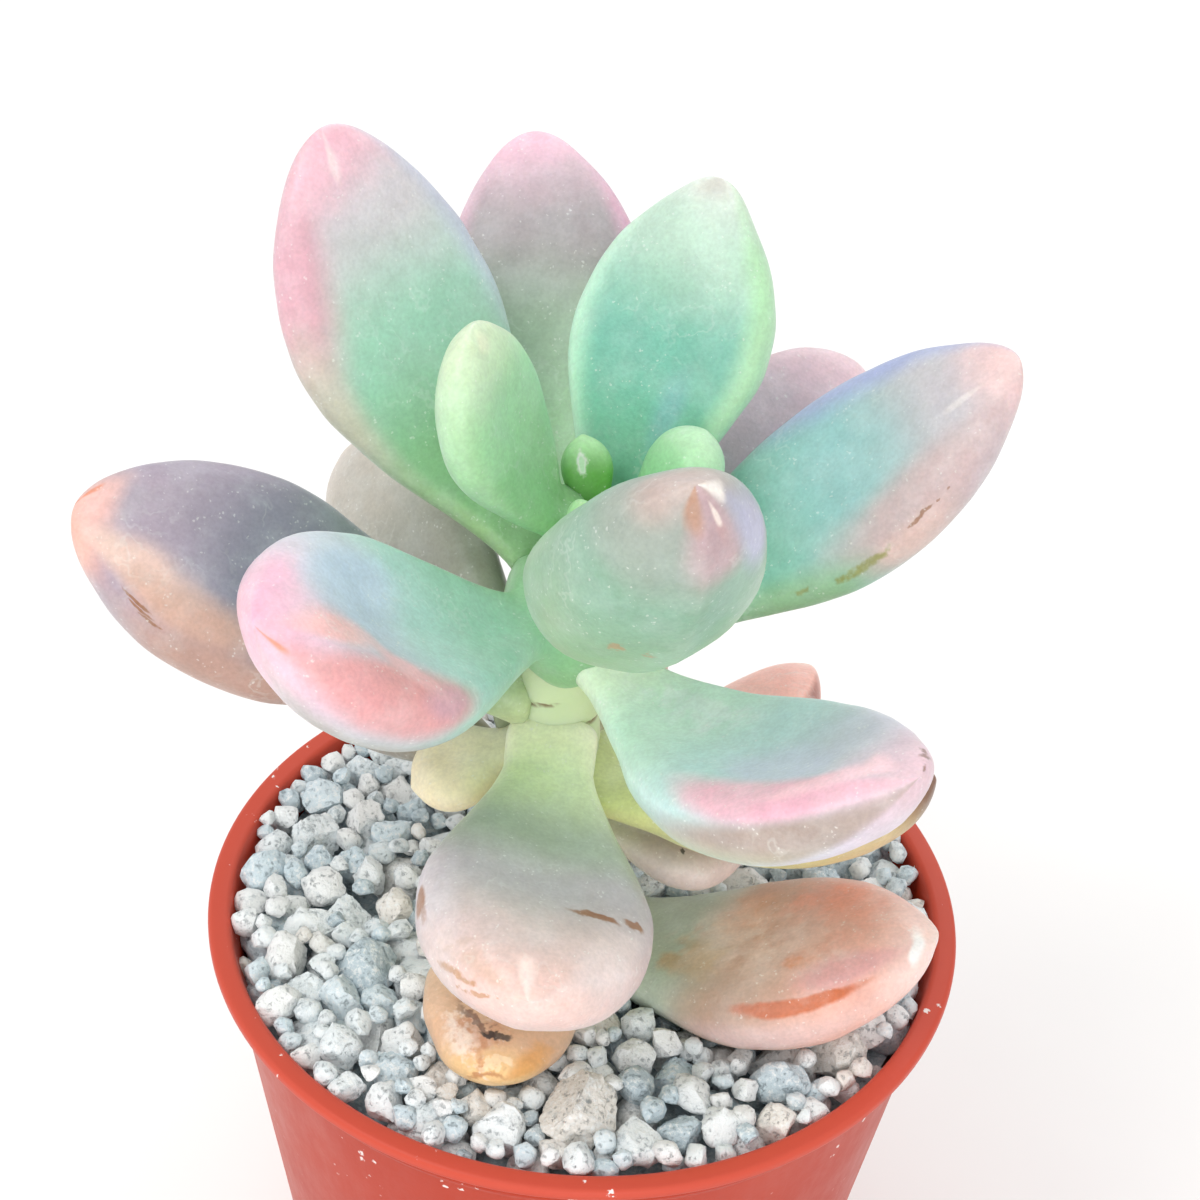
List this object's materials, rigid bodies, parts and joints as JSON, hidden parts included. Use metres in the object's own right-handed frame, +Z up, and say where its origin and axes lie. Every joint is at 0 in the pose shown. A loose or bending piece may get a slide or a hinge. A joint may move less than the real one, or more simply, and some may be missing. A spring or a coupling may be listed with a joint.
{
  "type": "potted succulent",
  "caption": "Small potted succulent: thick pointed powdery leaves in a spiral on a short bare stem, set in a round flanged plastic pot dressed with pumice.",
  "frame": {"origin": "centre of the pot's base, on the surface it stands on and on the pot's axis", "axes": "+Z up along the pot's axis; +X to the right and -Y to the front, the side on which one leaf hangs down over the pumice"},
  "size_m": [0.0734, 0.0675, 0.1231],
  "materials": {
    "pot_plastic": "terracotta-red injection-moulded plastic, satin, with dust and fine scuffs",
    "potting_mix": "damp dark potting mix under the pumice",
    "pumice": "matt porous pumice, light grey with cream and darker grains",
    "stem_skin": "yellow-green fleshy stem with a leaf-scar line",
    "leaf_skin": "powdery wax bloom over green skin that flushes pink towards tips and edges",
    "withered_leaf": "dried straw-yellow leaf skin with brown scars"
  },
  "bodies": {
    "root": {"pot": "pot_plastic", "potting_mix": "potting_mix", "pumice_bed": "pumice", "stem": "stem_skin", "leaf_top_left": "leaf_skin", "leaf_top_middle": "leaf_skin", "leaf_top_right": "leaf_skin", "leaf_right_behind": "leaf_skin", "leaf_right": "leaf_skin", "leaf_front": "leaf_skin", "leaf_inner_left": "leaf_skin", "leaf_bud": "leaf_skin", "leaf_bud_front": "leaf_skin", "leaf_bud_left": "leaf_skin", "leaf_inner_right": "leaf_skin", "leaf_left": "leaf_skin", "leaf_left_behind": "leaf_skin", "leaf_front_left": "leaf_skin", "leaf_front_right": "leaf_skin", "leaf_hanging": "leaf_skin", "leaf_low_right": "leaf_skin", "leaf_withered_front": "withered_leaf", "leaf_withered_left": "withered_leaf", "leaf_under_right": "leaf_skin", "leaf_red_behind": "leaf_skin", "leaf_short_right": "leaf_skin", "leaf_back": "leaf_skin", "leaf_low_left": "leaf_skin", "leaf_low_back": "leaf_skin", "pumice_stone_01": "pumice", "pumice_stone_02": "pumice", "pumice_stone_03": "pumice", "pumice_stone_04": "pumice", "pumice_stone_05": "pumice", "pumice_stone_06": "pumice", "pumice_stone_07": "pumice", "pumice_stone_08": "pumice", "pumice_stone_09": "pumice", "pumice_stone_10": "pumice", "pumice_stone_11": "pumice", "pumice_stone_12": "pumice", "pumice_stone_13": "pumice"}
  },
  "joints": []
}
